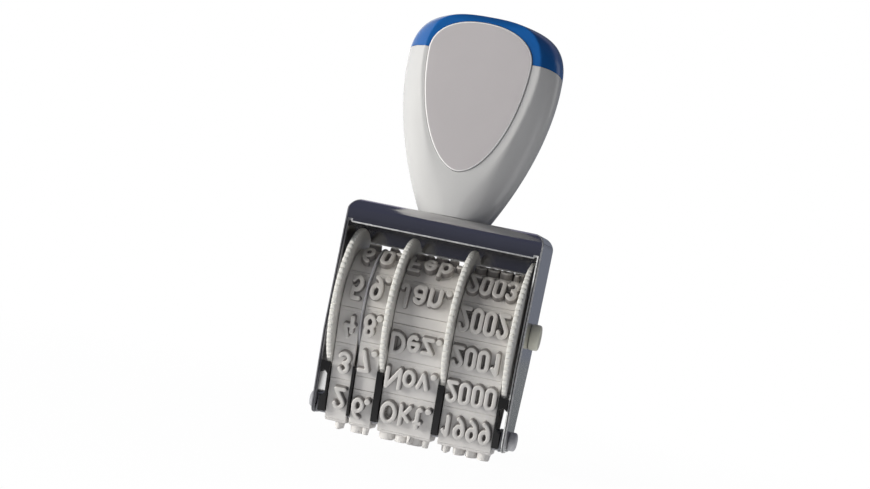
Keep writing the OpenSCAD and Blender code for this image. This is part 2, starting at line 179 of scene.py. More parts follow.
def add_piece(name, mesh, material, body, node, crease=35.0):
    """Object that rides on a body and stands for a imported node; edges that
    turn by more than crease degrees stay sharp."""
    mesh.name = name
    mesh.shade_smooth()
    mesh.set_sharp_from_angle(angle=np.radians(crease))
    if not mesh.materials:
        mesh.materials.append(material)
    piece = add_object(name, mesh)
    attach(piece, body)
    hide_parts(node)
    print(name, "faces:", len(mesh.polygons))
    return piece


print("faces of a grid of 3 by 4 points:", len(grid_faces(3, 4)))

# %% [markdown]
# ## Finishes
# A finish starts from the real material. Colours are written as they would be
# picked on a screen, and one function turns them into the linear values that
# the shader needs. One function adds every node. Patterns are set in
# millimetres: a noise of scale 1 has features about a metre wide here.

# %% Colour and node helpers
def paint(code):
    """Linear colour of an sRGB hex code."""
    srgb = np.array([int(code[i:i + 2], 16) for i in (1, 3, 5)]) / 255
    linear = np.where(srgb <= 0.04045, srgb / 12.92, ((srgb + 0.055) / 1.055) ** 2.4)
    return (*linear.tolist(), 1.0)


def add_node(tree, kind, values={}, links={}):
    """Add a node, fill its settings and sockets, and link other sockets in."""
    made = tree.nodes.new(kind)
    for key, value in values.items():
        if isinstance(key, int) or key in made.inputs:
            made.inputs[key].default_value = value
        else:
            setattr(made, key, value)
    for key, socket in links.items():
        tree.links.new(socket, made.inputs[key])
    return made


def per_mm(size):
    """Texture scale whose features are about this many millimetres wide."""
    return 1 / (size * MM)


def new_material(name):
    """Material with an empty node tree, and that tree."""
    material = bpy.data.materials.new(name)
    material.use_nodes = True
    material.node_tree.nodes.clear()
    return material, material.node_tree


def show_surface(tree, fixed, colour, rough, grain, bump):
    """Output of a surface with this colour and roughness, which a grain of bump
    millimetres tilts; fixed holds what is the same all over it."""
    tilt = add_node(tree, "ShaderNodeBump", {"Strength": 1.0, "Distance": bump * MM},
                    {"Height": grain})
    shader = add_node(tree, "ShaderNodeBsdfPrincipled", fixed,
                      {"Base Color": colour, "Roughness": rough,
                       "Normal": tilt.outputs["Normal"]})
    add_node(tree, "ShaderNodeOutputMaterial", {}, {"Surface": shader.outputs["BSDF"]})


def finish(name, pale, deep, blotch, grain, bump, rough, rough_by, fixed,
           stretch=(1.0, 1.0, 1.0)):
    """Moulded or drawn surface: two colours mixed by blotches, and a fine grain
    that tilts the surface and moves its roughness by up to rough_by. blotch,
    grain and bump, which is the grain's height, are in millimetres."""
    material, tree = new_material(name)
    place = add_node(tree, "ShaderNodeTexCoord")
    along = add_node(tree, "ShaderNodeMapping", {"Scale": stretch},
                     {"Vector": place.outputs["Object"]})
    cloud = add_node(tree, "ShaderNodeTexNoise", {"Scale": per_mm(blotch), "Detail": 4.0},
                     {"Vector": along.outputs["Vector"]})
    grit = add_node(tree, "ShaderNodeTexNoise", {"Scale": per_mm(grain), "Detail": 3.0},
                    {"Vector": along.outputs["Vector"]})
    tone = add_node(tree, "ShaderNodeMix", {"data_type": "RGBA", 6: paint(deep), 7: paint(pale)},
                    {0: cloud.outputs["Fac"]})
    gloss = add_node(tree, "ShaderNodeMapRange",
                     {"To Min": rough - rough_by, "To Max": rough + rough_by},
                     {"Value": grit.outputs["Fac"]})
    show_surface(tree, fixed, tone.outputs[2], gloss.outputs["Result"], grit.outputs["Fac"], bump)
    return material


print("mid grey in linear light: %.3f" % paint("#808080")[0])

# %% Finishes of the stamp
# ABS, injection moulded in a polished tool: glossy, with a faint orange peel.
grey_abs = finish("grey_gloss_abs", "#c9c8c6", "#c2c1bf", 9, 0.9, 0.0015, 0.2, 0.04,
                  {"IOR": 1.54})
# Polystyrene, through-dyed blue: a gloss that darkens where it turns away.
blue_styrene = finish("blue_gloss_styrene", "#145ca3", "#115699", 7, 0.9, 0.0015, 0.22, 0.04,
                      {"IOR": 1.59})
# ABS from a spark-eroded tool: an even matt skin of fine pits.
matt_abs = finish("matt_plate_abs", "#bfbaba", "#b9b4b4", 6, 0.22, 0.006, 0.55, 0.06,
                  {"IOR": 1.54})
# The same ABS, paler and smoother: a painted highlight on the plate's rounded edge.
plate_edge_highlight = finish("painted_plate_edge_highlight", "#f2f0ee", "#e6e4e2", 6, 0.22, 0.003, 0.35, 0.06,
                    {"IOR": 1.54})
# Cream polystyrene wheels: satin, slightly uneven from handling.
cream_styrene = finish("cream_satin_styrene", "#e9e7e1", "#e0ded8", 3, 0.35, 0.004, 0.4, 0.08,
                       {"IOR": 1.59})
# Natural polyamide cap: waxy, a little green in the shade.
waxy_nylon = finish("waxy_nylon", "#eeecda", "#e4e2ce", 2, 0.4, 0.003, 0.36, 0.05,
                    {"IOR": 1.53})
# Bright nickel plate on rolled steel: mirror-like, with a faint roll waviness.
bright_nickel = finish("bright_nickel_sheet", "#d2d1d0", "#cbcac9", 5, 6, 0.0015, 0.14, 0.03,
                       {"Metallic": 1.0}, stretch=(1.0, 1.0, 0.35))
# Sheared sheet edge: torn bright steel, rougher than the plate beside it.
sheared_steel = finish("sheared_steel_edge", "#5c5c60", "#3e3e42", 0.5, 0.18, 0.02, 0.36, 0.1,
                       {"Metallic": 1.0})
# Painted highlight on the bracket's bevelled edges: a pale, broken, non-metal finish.
edge_highlight = finish("painted_edge_highlight", "#f2f2f0", "#77777a", 0.4, 0.25, 0.03, 0.7, 0.1,
                     {"IOR": 2.0})
# On the left arm's edge the painted highlight is darkened to grey between these places: painted
# shade.
ARM_SHADE_FROM, ARM_SHADE_TO = -13.9, -14.5
tree = edge_highlight.node_tree
base = next(n for n in tree.nodes if n.type == "BSDF_PRINCIPLED").inputs["Base Color"]
place = add_node(tree, "ShaderNodeTexCoord")
split = add_node(tree, "ShaderNodeSeparateXYZ", {}, {"Vector": place.outputs["Object"]})
arm_shade = add_node(tree, "ShaderNodeMapRange",
                {"From Min": ARM_SHADE_FROM * MM, "From Max": ARM_SHADE_TO * MM},
                {"Value": split.outputs["X"]})
arm_shade_mix = add_node(tree, "ShaderNodeMix", {"data_type": "RGBA", "blend_type": "MULTIPLY",
                                        7: paint("#84848a")},
                {0: arm_shade.outputs["Result"], 6: base.links[0].from_socket})
tree.links.new(arm_shade_mix.outputs[2], base)
# Zinc-plated wire and sheet: dull silver with a slight bloom.
zinc_steel = finish("zinc_plated_steel", "#c4c5c8", "#b2b3b7", 1.5, 0.25, 0.004, 0.3, 0.07,
                    {"Metallic": 1.0})
# Plain steel disc and pin, dulled by a film of dust that scatters the light.
dull_steel = finish("dull_plain_steel", "#cfcfd1", "#bfbfc2", 1.2, 0.3, 0.004, 0.66, 0.06,
                    {"Metallic": 0.45})
# Black polyamide block: matt, with glass-filled grain.
black_nylon = finish("black_matt_nylon", "#100f0f", "#0b0a0a", 1.5, 0.2, 0.008, 0.62, 0.08,
                     {"IOR": 1.53})
# Turned brass of the sleeve in the handle foot.
turned_brass = finish("turned_brass", "#c9a45c", "#b9934c", 1.0, 0.15, 0.004, 0.28, 0.05,
                      {"Metallic": 1.0})
print("finishes:", len(bpy.data.materials))

# %% [markdown]
# ## The rubber of the bands
# The bands are moulded from pale grey, matt type rubber. The pad has stained the
# faces of the type. Shade is painted on the walls of the type, over the upper rows
# and in the closed counters. Numbers stored with each point say how high it stands
# and how much painted shade it gets in a closed counter, so the finish can follow
# the type; a texture could only guess at it.

# %% Band rubber
def rubber_finish():
    """Rubber whose floor tone is covered layer by layer, each by a share that
    runs with the stored height, the place on the stamp or the painted counter shade."""
    material, tree = new_material("pale_type_rubber")
    place = add_node(tree, "ShaderNodeTexCoord").outputs["Object"]
    cloud = add_node(tree, "ShaderNodeTexNoise", {"Scale": per_mm(1.6), "Detail": 5.0},
                     {"Vector": place})
    grit = add_node(tree, "ShaderNodeTexNoise", {"Scale": per_mm(0.16), "Detail": 2.0},
                    {"Vector": place})
    # Stored height of the type, and stored painted shade of the closed counters.
    lift = add_node(tree, "ShaderNodeAttribute", {"attribute_name": "type_height"}).outputs["Fac"]
    counter_shade_fac = add_node(tree, "ShaderNodeAttribute", {"attribute_name": "painted_counter_shade"}).outputs["Fac"]
    up = add_node(tree, "ShaderNodeSeparateXYZ", {}, {"Vector": place}).outputs["Z"]
    share = {}
    # Shares of walls, type edges, type faces, height above the pad, and painted shade over the
    # upper rows.
    for label, socket, start, end, most in (
            ("wall", lift, 0.0, 0.12, 1.0), ("top", lift, 0.75, 0.92, 1.0),
            ("face", lift, 0.93, 1.0, 1.0), ("above_pad", up, 1.3 * MM, 2.5 * MM, 1.0),
            ("upper_rows_shade", up, 12 * MM, 24 * MM, 0.6)):
        ramp = add_node(tree, "ShaderNodeMapRange",
                        {"From Min": start, "From Max": end, "To Max": most}, {"Value": socket})
        share[label] = ramp.outputs["Result"]
    # Painted shade on the walls of the type, left off the printing row near the pad.
    wall_shade = add_node(tree, "ShaderNodeMath", {"operation": "MULTIPLY"},
                    {0: share["wall"], 1: share["above_pad"]})
    tone = add_node(tree, "ShaderNodeMix",
                    {"data_type": "RGBA", 6: paint("#dad7d3"), 7: paint("#e4e1dd")},
                    {0: cloud.outputs["Fac"]})
    # Painted shade on the walls, the rubber's own tone on the type's upper edges, stained faces,
    # painted shade over the upper rows and in the closed counters.
    for part, colour, blend in ((wall_shade.outputs["Value"], "#979390", "MIX"),
                                (share["top"], "#dedbd7", "MIX"),
                                (share["face"], "#cbc8c4", "MIX"),
                                (share["upper_rows_shade"], "#c4c1be", "MULTIPLY"),
                                (counter_shade_fac, "#807d7a", "MULTIPLY")):
        tone = add_node(tree, "ShaderNodeMix",
                        {"data_type": "RGBA", "blend_type": blend, 7: paint(colour)},
                        {0: part, 6: tone.outputs[2]})
    gloss = add_node(tree, "ShaderNodeMapRange", {"To Min": 0.55, "To Max": 0.75},
                     {"Value": cloud.outputs["Fac"]})
    show_surface(tree, {"IOR": 1.52}, tone.outputs[2], gloss.outputs["Result"],
                 grit.outputs["Fac"], 0.006)
    return material


type_rubber = rubber_finish()
print("rubber:", type_rubber.name)

# %% [markdown]
# ## The handle's form
# The paddle is a lens in section: a flat front and back face, and two sides
# that meet in a soft ridge. Towards the neck the section turns to an oval and the
# creases soften. Box modelling with subdivision would do, but the solids
# already give the section as a formula of height, so the same formula is drawn
# here on a fine grid, with the creases rounded.

# %% Handle section
FOOT_Z, TALL, HALF_W, NECK_HALF, FACE_Y = 35.45, 31.5, 12.2, 5.7, 5.05
WIDEST, CAP_FROM, FLAT_FROM = 22.5 / TALL, 1 - 6.6 / TALL, 24.5 / TALL
NECK_POWER, DOME = 1.85, 2.8
# Place of the crease as a share of the half width, and how much it loses at the foot.
CREASE_AT, CREASE_LOSS, LOSS_POWER = 0.75, 0.36, 1.5
# Close under the top the section thins and its rows sink.
THIN_FROM, THIN_BY, SINK_FROM, TOP_SINK = 0.95, 0.2, 0.9, 0.4
# Share of the lens in the section at the foot, and where it grows to the whole.
FOOT_LENS, LENS_FROM, LENS_OVER = 0.3, 0.06, 0.3
CREASE_ROUND, FOOT_ROUND, SOFT_BELOW = 0.28, 1.4, 0.42
PLATE_MID, PLATE_TOP, PLATE_FOOT, PLATE_HALF = 59.95, 65.4, 42.35, 8.05
EGG_TOP, EGG_LOW, NO_ZERO = 2.2, 1.84, 1e-6
# The plate sits a little to the left, as in the photograph.
PLATE_X = -0.35
# The seat's wall drops from just outside the plate, between columns close beside it.
SEAT_EDGE, SEAT_WALL, SEAT_DEEP, SEAT_IN, SEAT_OUT = 0.05, 0.05, 0.7, 0.15, 0.25
# The seam under the coloured top sags towards the ridges, more on the right.
SEAM_SAG, SEAM_REACH = {"right": 1.25, "left": 0.55}, 0.08
# Points across the seat, up to its wall, beyond it, on the border, crease and side.
COLUMNS = (7, 6, 7, 9, 9, 22)


def below(u, end):
    """Share of the way from end down to 0, at most 1."""
    return np.clip(1 - u / end, 0, 1)


def above(u, start):
    """Share of the way from start up to 1, at least 0."""
    return np.clip((u - start) / (1 - start), 0, 1)


def half_width(u):
    """Half width at height share u: a power curve up to the widest place, then
    a superellipse dome."""
    low = HALF_W - (HALF_W - NECK_HALF) * below(u, WIDEST) ** NECK_POWER
    dome = HALF_W * (1 - above(u, WIDEST) ** DOME) ** (1 / DOME)
    return np.where(u < WIDEST, low, dome)


def eased(t):
    """Smooth step from 0 to 1."""
    t = np.clip(t, 0, 1)
    return t * t * (3 - 2 * t)


def egg_sizes(upper):
    """Power and height of the upper or the lower part of the plate's oval, which
    is two half superellipses on one width."""
    return (np.where(upper, EGG_TOP, EGG_LOW),
            np.where(upper, PLATE_TOP - PLATE_MID, PLATE_MID - PLATE_FOOT))


def egg_half(z):
    """Half width of the oval plate at height z; zero outside its ends."""
    n, h = egg_sizes(z > PLATE_MID)
    return PLATE_HALF * (1 - np.clip(np.abs(z - PLATE_MID) / h, 0, 1) ** n) ** (1 / n)


def egg_distance(x, z):
    """Distance outside the plate's outline: the superellipse's level divided by
    the length of its slope."""
    n, h = egg_sizes(z > PLATE_MID)
    a, b = np.abs(x) / PLATE_HALF + NO_ZERO, np.abs(z - PLATE_MID) / h + NO_ZERO
    level = (a ** n + b ** n) ** (1 / n)
    slope = np.hypot((a / level) ** (n - 1) / PLATE_HALF, (b / level) ** (n - 1) / h)
    return (level - 1) / slope


def section_sizes(u):
    """Half width, crease place, depth and height at height share u, and the
    share of the lens in the section; the rest is an ellipse."""
    w = half_width(u)
    a = w * (CREASE_AT - CREASE_LOSS * below(u, FLAT_FROM) ** LOSS_POWER)
    d = FACE_Y * (1 - THIN_BY * above(u, THIN_FROM) ** 2)
    z = FOOT_Z + TALL * u - TOP_SINK * above(u, SINK_FROM) ** 2
    return w, a, d, z, FOOT_LENS + (1 - FOOT_LENS) * eased((u - LENS_FROM) / LENS_OVER)


def handle_quarter(u, sag, move):
    """Quarter of the section at each height share in the column u: across the
    flat face to the crease, round it on a three-point arc, then along the lens
    side to the ridge, where rows near the seam drop by sag. The plate's seat is
    moved sideways by move. Returns x, y and z grids."""
    w, a, d, z, flat = section_sizes(u)

    def face(x):
        return x, d * (flat + (1 - flat) * np.sqrt(1 - (x / w) ** 2)), z + 0 * x

    def side(t):
        near_seam = np.exp(-((u - CAP_FROM) / SEAM_REACH) ** 2)
        w, a, d, z, flat = section_sizes(u - sag / TALL * near_seam * t * t)
        start = np.arcsin(a / w)
        turn = start + (np.pi / 2 - start) * t
        lens_x, lens_y = a + (w - a) * (1 - (1 - t) ** 2), d * (1 - t)
        return (lens_x * flat + w * np.sin(turn) * (1 - flat),
                lens_y * flat + d * np.cos(turn) * (1 - flat), z + 0 * t)

    # The limits keep the columns in order where the face is narrow or has no plate.
    soft = np.minimum(CREASE_ROUND + FOOT_ROUND * below(u, SOFT_BELOW), a * 0.5)
    edge = a - soft
    t_soft = soft / np.hypot(2 * (w - a), d)
    seat = np.clip(egg_half(z) + move, edge * 0.1, edge - 0.3 * soft)
    near = np.minimum(SEAT_IN, seat * 0.5)
    wide = np.minimum(SEAT_OUT, (edge - seat) * 0.6)
    share = [np.linspace(0, 1, n)[None, :] for n in COLUMNS]
    columns = [(seat - near) * share[0], seat - near * (1 - share[1][:, 1:]),
               seat + wide * share[2][:, 1:],
               seat + wide + (edge - seat - wide) * share[3][:, 1:]]
    flat_part = face(np.concatenate(columns, 1))
    s = share[4][:, 1:-1]
    p0, p1, p2 = face(edge), side(t_soft * 0), side(t_soft)
    bend = [(1 - s) ** 2 * p + 2 * s * (1 - s) * q + s * s * r for p, q, r in zip(p0, p1, p2)]
    lens = side(t_soft + (1 - t_soft) * share[5])
    x, y, z = (np.concatenate(parts, 1) for parts in zip(flat_part, bend, lens))
    on_face = np.arange(x.shape[1]) < flat_part[0].shape[1]
    sunk = SEAT_DEEP * eased((SEAT_EDGE - egg_distance(x - move, z)) / SEAT_WALL) * on_face
    return x, y - sunk, z


def handle_rings(u):
    """Whole sections from mirrored quarters: front right, back right, back
    left, front left. Shape (heights, points, 3)."""
    half = {}
    for way, sag in SEAM_SAG.items():
        x, y, z = handle_quarter(u[:, None], sag, PLATE_X if way == "right" else -PLATE_X)
        quarter = np.stack([x, -y, z], -1)
        half[way] = np.concatenate([quarter, (quarter * [1, -1, 1])[:, -2::-1]], 1)
    return np.concatenate([half["right"], (half["left"] * [-1, 1, 1])[:, -2:0:-1]], 1)


print("seat for a plate: %.1f by %.1f mm" % (2 * PLATE_HALF, PLATE_TOP - PLATE_FOOT))

# %% Handle body and cap
BODY_ROWS, CAP_ROWS, SEAM_GAP, CAP_END = 150, 60, 0.0016, 0.9996
# The rows have sunk by this much where the seat ends at the top.
CROWN_SINK = 0.13
# More rows round the two ends of the seat, in shares of the height.
TIP_ROWS, CROWN_ROWS = np.linspace(-0.012, 0.012, 15), np.linspace(-0.01, 0.008, 14)
tip = (PLATE_FOOT - FOOT_Z) / TALL
crown = (PLATE_TOP - FOOT_Z + CROWN_SINK) / TALL
cap_low = CAP_FROM + SEAM_GAP
cap_u = cap_low + (CAP_END - cap_low) * np.sin(np.linspace(0, np.pi / 2, CAP_ROWS))
for name, rows, more, material, node, slot in (
        ("handle_paddle", np.linspace(0, CAP_FROM, BODY_ROWS), tip + TIP_ROWS, grey_abs,
         "handle_body", "grey_plastic"),
        ("handle_top", cap_u, crown + CROWN_ROWS, blue_styrene, "handle_cap", "blue_plastic")):
    rings = handle_rings(np.unique(np.concatenate([rows, more])))
    add_piece(name, closed_loft(rings), material, "stand", node)

# %% [markdown]
# ## The oval plates
# A matt plate is pressed into a shallow seat on each face, and its rounded edge
# stands just proud. On the real stamp this is where a maker would print; it
# stays bare. A solidified curve would do, but carrying an edge profile round the
# outline gives the rounding exactly.

# %% Plates
PLATE_IN, PLATE_OUT, PLATE_HEART = 4.4, 5.3, 57.0
OUTLINE, FINE_OUTLINE, RINGS_IN = 360, 4001, np.array([0.8, 0.5, 0.2])
# Edge profile: how far in from the outline, and how far out from the stamp's middle.
EDGE = np.array([(0.06, PLATE_IN), (0.0, 4.46), (0.0, 5.1), (0.015, 5.17), (0.06, 5.235),
                 (0.12, 5.275), (0.21, 5.296), (0.32, PLATE_OUT)])
# Rows of faces on the rounded edge that carry the painted highlight, of the plate's 13.
HIGHLIGHT_FROM, HIGHLIGHT_TO = 6, 9


def egg_outline(count):
    """Points evenly spaced round the plate's outline, and outward normals: fine
    points from the superellipse's angle, then even steps of the length."""
    a = np.linspace(0, 2 * np.pi, FINE_OUTLINE)
    n, h = egg_sizes(np.sin(a) > 0)
    x = PLATE_HALF * np.sign(np.cos(a)) * np.abs(np.cos(a)) ** (2 / n)
    z = PLATE_MID + h * np.sign(np.sin(a)) * np.abs(np.sin(a)) ** (2 / n)
    run = np.concatenate([[0], np.cumsum(np.hypot(np.diff(x), np.diff(z)))])
    at = np.linspace(0, run[-1], count, endpoint=False)
    line = np.stack([np.interp(at, run, x), np.interp(at, run, z)], -1)
    step = np.roll(line, -1, 0) - np.roll(line, 1, 0)
    normal = np.stack([step[:, 1], -step[:, 0]], -1)
    return line, normal / np.linalg.norm(normal, axis=1, keepdims=True)


def plate_mesh(way):
    """Edge profile carried round the outline, then rings drawn in to the
    middle. way is -1 for the front and 1 for the back."""
    line, normal = egg_outline(OUTLINE)
    edge = line[None] - EDGE[:, 0, None, None] * normal[None]
    centre = np.array([0.0, PLATE_HEART])
    shares = RINGS_IN[:, None, None]
    rings = np.concatenate([centre + shares[::-1] * (edge[0] - centre), edge,
                            centre + shares * (edge[-1] - centre)])
    depth = np.concatenate([0 * RINGS_IN + PLATE_IN, EDGE[:, 1], 0 * RINGS_IN + PLATE_OUT])
    y = np.broadcast_to(way * depth[:, None], rings.shape[:2])
    middles = np.array([[PLATE_X, way * d, PLATE_HEART] for d in (PLATE_IN, PLATE_OUT)])
    mesh = closed_loft(np.stack([rings[..., 0] + PLATE_X, y, rings[..., 1]], -1), middles)
    # The painted highlight's rows of faces get the second finish.
    highlighted = np.zeros(len(mesh.polygons), np.int32)
    highlighted[HIGHLIGHT_FROM * OUTLINE:HIGHLIGHT_TO * OUTLINE] = 1
    mesh.materials.append(matt_abs)
    mesh.materials.append(plate_edge_highlight)
    mesh.polygons.foreach_set("material_index", highlighted)
    return mesh


for name, way in (("front_plate", -1), ("back_plate", 1)):
    add_piece("oval_" + name, plate_mesh(way), matt_abs, "stand", name,
              crease=60)

# %% [markdown]
# ## The thumb wheels
# Each wheel has a rim with fine cross flutes for the thumb, and a drum beside
# it that carries the band. An array of teeth could be cut out of a disc, but it
# is simpler to turn the wheel's profile about the axle and let the radius of
# the rim dip at every flute.

# %% Wheels
AXLE_Z, WHEEL_R, DRUM_R, BORE_R = 20.0, 11.2, 6.85, 1.55
RIM_T, WALL = 0.8, 1.2
FLUTES, FLUTE_STEPS, FLUTE_DEEP, FLUTE_POWER = 72, 10, 0.36, 1.7
# Extra rows on the rim's two sides, which keep its faces even.
SIDE_IN, SIDE_OUT = 6.0, 8.6
# Broken edge of the rim: in from its side, under its radius, and the share of the
# flute's depth that is felt there.
RIM_EDGE = np.array([(0.0, 0.6, 0), (0.0, 0.3, 0.3), (0.03, 0.14, 0.8), (0.1, 0.05, 1),
                     (0.22, 0, 1), (0.36, 0, 1)])


def turned(profile, steps, dip=None):
    """Mesh of a closed profile of (x, radius) points turned about the axle. dip
    holds for each point the share of the flute's depth that it feels."""
    angle = np.arange(steps) * 2 * np.pi / steps
    radius = np.broadcast_to(profile[:, 1], (steps, len(profile)))
    if dip is not None:
        flute = (1 - np.abs(np.sin(angle * FLUTES / 2))) ** FLUTE_POWER
        radius = radius - FLUTE_DEEP * flute[:, None] * dip
    x = np.broadcast_to(profile[:, 0], radius.shape)
    grid = np.stack([x, -radius * np.sin(angle)[:, None],
                     AXLE_Z - radius * np.cos(angle)[:, None]], -1)
    return array_mesh(grid.reshape(-1, 3), grid_faces(steps, len(profile), True, True))


def wheel_profile(low, high, rim_first):
    """Rim, drum and hub of one wheel between two places on the axle."""
    reach, drum_in, hub_r = high - low, DRUM_R - WALL, BORE_R + WALL
    edge = RIM_EDGE * [1, -1, 1] + [0, WHEEL_R, 0]
    other_edge = edge[::-1] * [-1, 1, 1] + [RIM_T, 0, 0]
    drum = [(RIM_T, SIDE_OUT, 0), (RIM_T, DRUM_R, 0), (reach, DRUM_R, 0), (reach, drum_in, 0),
            (RIM_T, drum_in, 0), (RIM_T, hub_r, 0), (reach, hub_r, 0), (reach, BORE_R, 0)]
    rows = np.concatenate([[(0, BORE_R, 0), (0, SIDE_IN, 0)], edge, other_edge, drum])
    x = low + rows[:, 0] if rim_first else high - rows[:, 0]
    return np.stack([x, rows[:, 1]], -1), rows[:, 2]


for name, body, rim_first in (("day_tens_wheel", "tens_wheel", True),
                              ("day_units_wheel", "units_wheel", False),
                              ("month_wheel", "months_wheel", False),
                              ("year_wheel", "years_wheel", False)):
    low, high = box_mm(name)
    profile, dip = wheel_profile(low[0], high[0], rim_first)
    add_piece("fluted_" + name, turned(profile, FLUTES * FLUTE_STEPS, dip), cream_styrene,
              body, name, crease=42)

# %% [markdown]
# ## Small turned pieces
# The divider disc, the nose pin with its formed head and the cap on the axle are
# turned too. A screw modifier could turn them, but the disc has a bore as the wheels
# have, so their function draws it, and one like it closes pin and cap on their axis.

# %% Disc, pin and axle cap
def solid_turned(profile, steps, height):
    """Mesh of an open profile from the axis back to the axis, turned about a
    line along X at the given height and closed with a fan at each end."""
    angle = np.arange(steps) * 2 * np.pi / steps
    x = np.broadcast_to(profile[:, 0, None], (len(profile), steps))
    radius = profile[:, 1, None]
    grid = np.stack([x, -radius * np.sin(angle), height - radius * np.cos(angle)], -1)
    ends = np.array([[profile[n, 0], 0, height] for n in (0, -1)])
    return closed_loft(grid, ends)


DISC_R, DISC_STEPS, PIN_STEPS = 8.7, 192, 72
PIN_Z, PIN_R, HEAD_R, CLINCH_R, ARM_OUT = 3.7, 0.8, 1.45, 1.2, 15.3
CAP_R, SOCKET_R, SOCKET_DEEP = 2.0, 1.53, 0.8
low, high = box_mm("divider_disc")
disc_in, disc_out = low[0], high[0]
disc = np.array([[disc_in, BORE_R], [disc_in, DISC_R - 0.1], [disc_in + 0.05, DISC_R - 0.02],
                 [disc_in + 0.1, DISC_R], [disc_out - 0.1, DISC_R],
                 [disc_out - 0.05, DISC_R - 0.02], [disc_out, DISC_R - 0.1],
                 [disc_out, BORE_R]])
add_piece("thin_divider", turned(disc, DISC_STEPS), dull_steel, "divider", "divider_disc")

low, high = box_mm("nose_pin")
left, right = low[0], high[0]
pin = np.array([[left, 0.35], [left + 0.04, 0.75], [left + 0.14, 1.05], [left + 0.3, CLINCH_R],
                [-ARM_OUT, CLINCH_R], [-ARM_OUT, PIN_R], [ARM_OUT, PIN_R],
                [ARM_OUT, HEAD_R - 0.08], [ARM_OUT + 0.08, HEAD_R], [right - 0.45, HEAD_R],
                [right - 0.26, HEAD_R - 0.07], [right - 0.1, HEAD_R - 0.28],
                [right - 0.02, HEAD_R - 0.6], [right, 0.4]])
add_piece("formed_pin", solid_turned(pin, PIN_STEPS, PIN_Z), dull_steel, "stand", "nose_pin",
          crease=50)

low, high = box_mm("axle_cap")
left, right = low[0], high[0]
cap = np.array([[left + SOCKET_DEEP, 0.05], [left + SOCKET_DEEP, SOCKET_R], [left, SOCKET_R],
                [left, CAP_R - 0.1], [left + 0.1, CAP_R], [right - 0.4, CAP_R],
                [right - 0.2, CAP_R - 0.06], [right - 0.07, CAP_R - 0.2],
                [right - 0.01, CAP_R - 0.42], [right, 0.9], [right - 0.02, 0.3]])
add_piece("axle_end_cap", solid_turned(cap, PIN_STEPS, AXLE_Z), waxy_nylon, "stand",
          "axle_cap", crease=50)

# %% [markdown]
# ## The bracket
# The bracket is pressed from bright sheet: a top plate, two arms and two aprons.
# Its form is already right in the solids, so a copy of that mesh is used. Its
# loose triangles are merged, flat regions are joined again, and a narrow bevel
# breaks the edges, because no real edge is perfectly sharp. The sheared edges
# get the rougher finish, and the bevels a painted highlight in a pale finish.

# %% Bracket sheet
MERGE, FLAT_WITHIN, SHARP = 0.001, 0.2, 30


def sheet_copy(node):
    """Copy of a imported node: points within MERGE millimetres are merged, and
    faces within FLAT_WITHIN degrees are joined."""
    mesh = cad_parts[node].data.copy()
    mesh.materials.clear()
    work = bmesh.new()
    work.from_mesh(mesh)
    bmesh.ops.remove_doubles(work, verts=work.verts, dist=MERGE * MM)
    bmesh.ops.dissolve_limit(work, angle_limit=np.radians(FLAT_WITHIN), verts=work.verts,
                             edges=work.edges)
    work.to_mesh(mesh)
    work.free()
    return mesh


def break_edges(piece, width, material=-1):
    """Narrow two-step bevel on every edge that turns by more than SHARP degrees,
    with the finish of that number, or that of its neighbours."""
    bevel = piece.modifiers.new("broken_edges", "BEVEL")
    bevel.width, bevel.segments = width * MM, 2
    bevel.limit_method, bevel.angle_limit = "ANGLE", np.radians(SHARP)
    bevel.harden_normals, bevel.material = material < 0, material
    bevel.use_clamp_overlap = False


def face_values(mesh):
    """Normals and centres of all faces, centres in millimetres."""
    n, c = np.zeros(len(mesh.polygons) * 3), np.zeros(len(mesh.polygons) * 3)
    mesh.polygons.foreach_get("normal", n)
    mesh.polygons.foreach_get("center", c)
    return n.reshape(-1, 3), c.reshape(-1, 3) / MM


bracket = sheet_copy("frame")
normals, centres = face_values(bracket)
# The sheared faces look down under the aprons, or stand along the edges of the arms.
ARM_IN, APRON_LOW, ARM_TOP, HIGHLIGHT_BEVEL, BROKEN = 14.65, 32.5, 31.5, 0.22, 0.04
low_edge = (normals[:, 2] < -0.6) & (centres[:, 2] < APRON_LOW)
arm_edge = ((np.abs(normals[:, 0]) < 0.2) & (np.abs(centres[:, 0]) > ARM_IN - 0.2)
            & (centres[:, 2] < ARM_TOP))
for material in (bright_nickel, sheared_steel, edge_highlight):
    bracket.materials.append(material)
bracket.polygons.foreach_set("material_index", (low_edge | arm_edge).astype(np.int32))
piece = add_piece("bright_bracket", bracket, bright_nickel, "stand", "frame")
# The bevels carry the painted highlight finish, number 2.
break_edges(piece, HIGHLIGHT_BEVEL, 2)
piece = add_piece("nose_cheeks", sheet_copy("nose_bracket"), zinc_steel, "stand",
                  "nose_bracket")
break_edges(piece, BROKEN)

# %% [markdown]
# ## Letters and figures
# The type is a plain rounded condensed face of one stroke width, as type founders
# cut for band daters. A font file can't be read here, so each character is a few
# strokes: straight lines and arcs in a box one unit wide and one unit tall. Small
# letters are X_TALL tall. Only days, months and years are cut.

# %% Strokes of the type face
X_TALL = 0.73
X_MID = X_TALL / 2


def arc(cx, cy, rx, ry, start, end, count=14):
    """Points on an ellipse between two angles in degrees."""
    a = np.radians(np.linspace(start, end, count))
    return np.stack([cx + rx * np.cos(a), cy + ry * np.sin(a)], -1)


def ring(cx, cy, rx, ry, count=28):
    """Points once round an ellipse."""
    return arc(cx, cy, rx, ry, 0, 360, count)


def line(*points):
    """Points of a straight-sided stroke."""
    return np.array(points, float)


def joined(*parts):
    """One stroke out of several parts, end to end."""
    return np.concatenate(parts)


